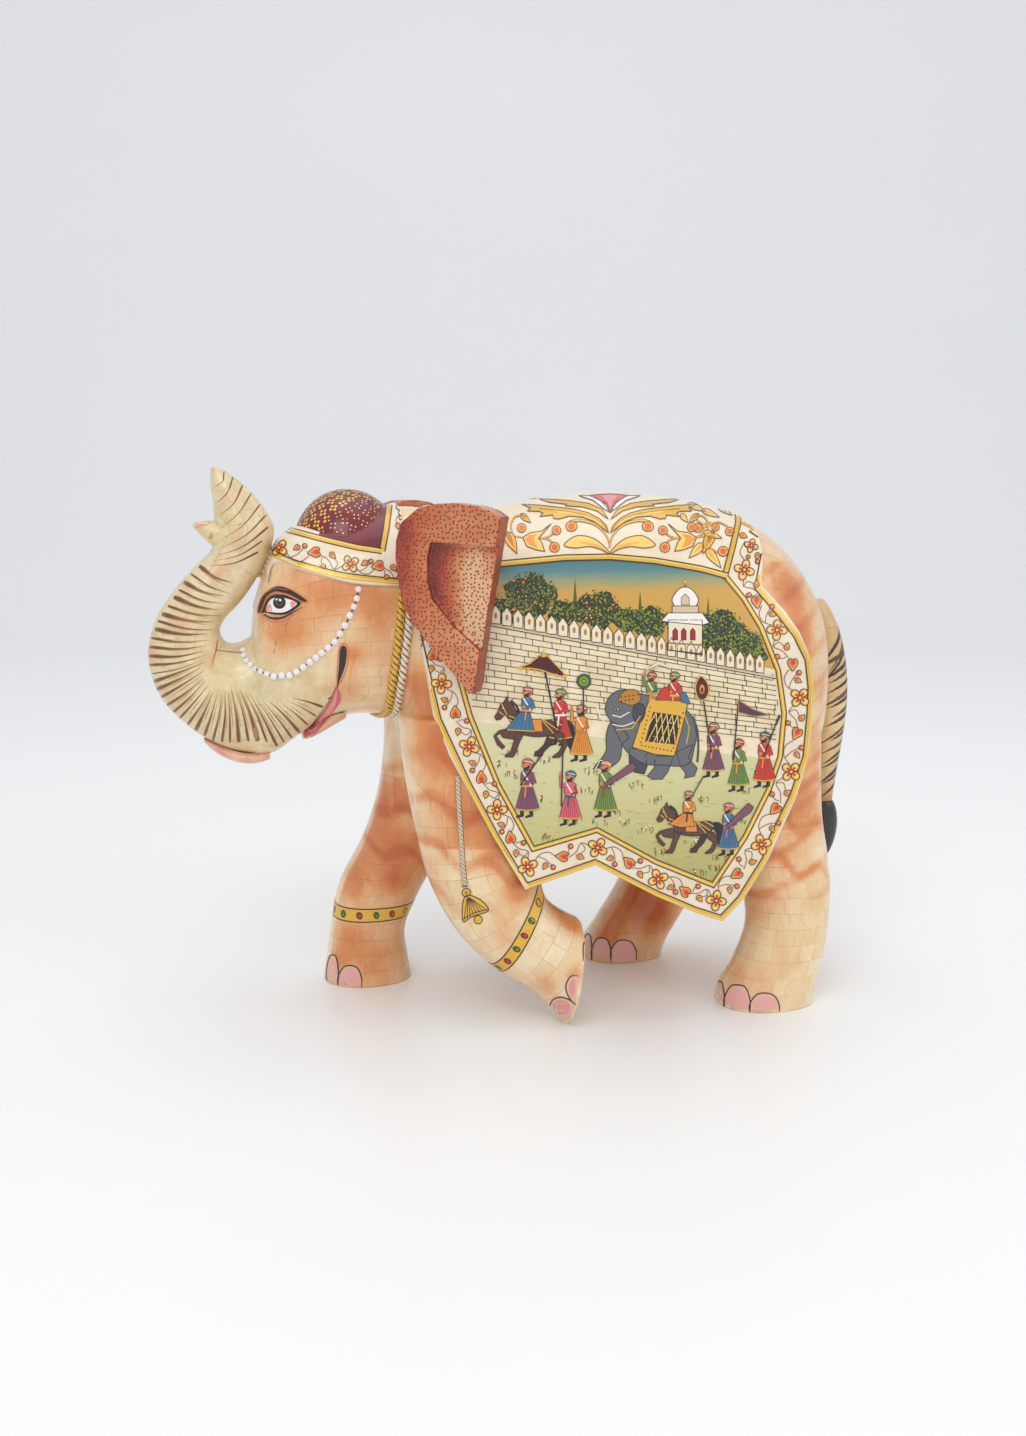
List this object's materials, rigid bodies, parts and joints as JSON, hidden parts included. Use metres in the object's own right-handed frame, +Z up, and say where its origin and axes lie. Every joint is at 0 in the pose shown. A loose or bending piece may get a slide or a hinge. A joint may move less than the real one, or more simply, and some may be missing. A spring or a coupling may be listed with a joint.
{
  "type": "elephant figurine",
  "caption": "Walking elephant figurine, raised trunk, carved wood cores with bone tile veneer, painted cloth and ears; stands on three flat soles and a toe tip.",
  "frame": {"origin": "centre of the bounding box on the plane the soles rest on", "axes": "+Z up, +X from head to tail, +Y towards the elephant's right flank"},
  "size_m": [0.3886, 0.1762, 0.2887],
  "materials": {
    "wood_core": "raw sanded",
    "bone_veneer": "gloss varnish over watercolour",
    "painted_wood": "painted, satin varnish",
    "painted_cloth": "painted, gloss varnish",
    "dowel_wood": "raw beech"
  },
  "bodies": {
    "root": {"torso_core": "wood_core", "torso_veneer_left": "bone_veneer", "torso_veneer_right": "bone_veneer", "fore_leg_left_core": "wood_core", "fore_leg_left_veneer": "bone_veneer", "fore_leg_right_core": "wood_core", "fore_leg_right_veneer": "bone_veneer", "hind_leg_left_core": "wood_core", "hind_leg_left_veneer": "bone_veneer", "hind_leg_right_core": "wood_core", "hind_leg_right_veneer": "bone_veneer", "head_core": "wood_core", "head_veneer": "bone_veneer", "trunk_core": "wood_core", "trunk_veneer": "bone_veneer", "lower_jaw": "bone_veneer", "trunk_lip": "painted_wood", "trunk_finger": "painted_wood", "headcloth": "painted_cloth", "crown_dome": "painted_wood", "caparison_left": "painted_cloth", "caparison_right": "painted_cloth", "saddle_cloth": "painted_cloth", "ear_left": "painted_wood", "ear_right": "painted_wood", "ear_root_left": "painted_wood", "ear_root_right": "painted_wood", "tail": "bone_veneer", "tail_tuft": "painted_wood", "neck_dowel": "dowel_wood", "trunk_dowel": "dowel_wood", "fore_leg_dowel": "dowel_wood", "hind_leg_dowel": "dowel_wood", "ear_pin": "dowel_wood", "tail_peg": "dowel_wood"}
  },
  "joints": []
}
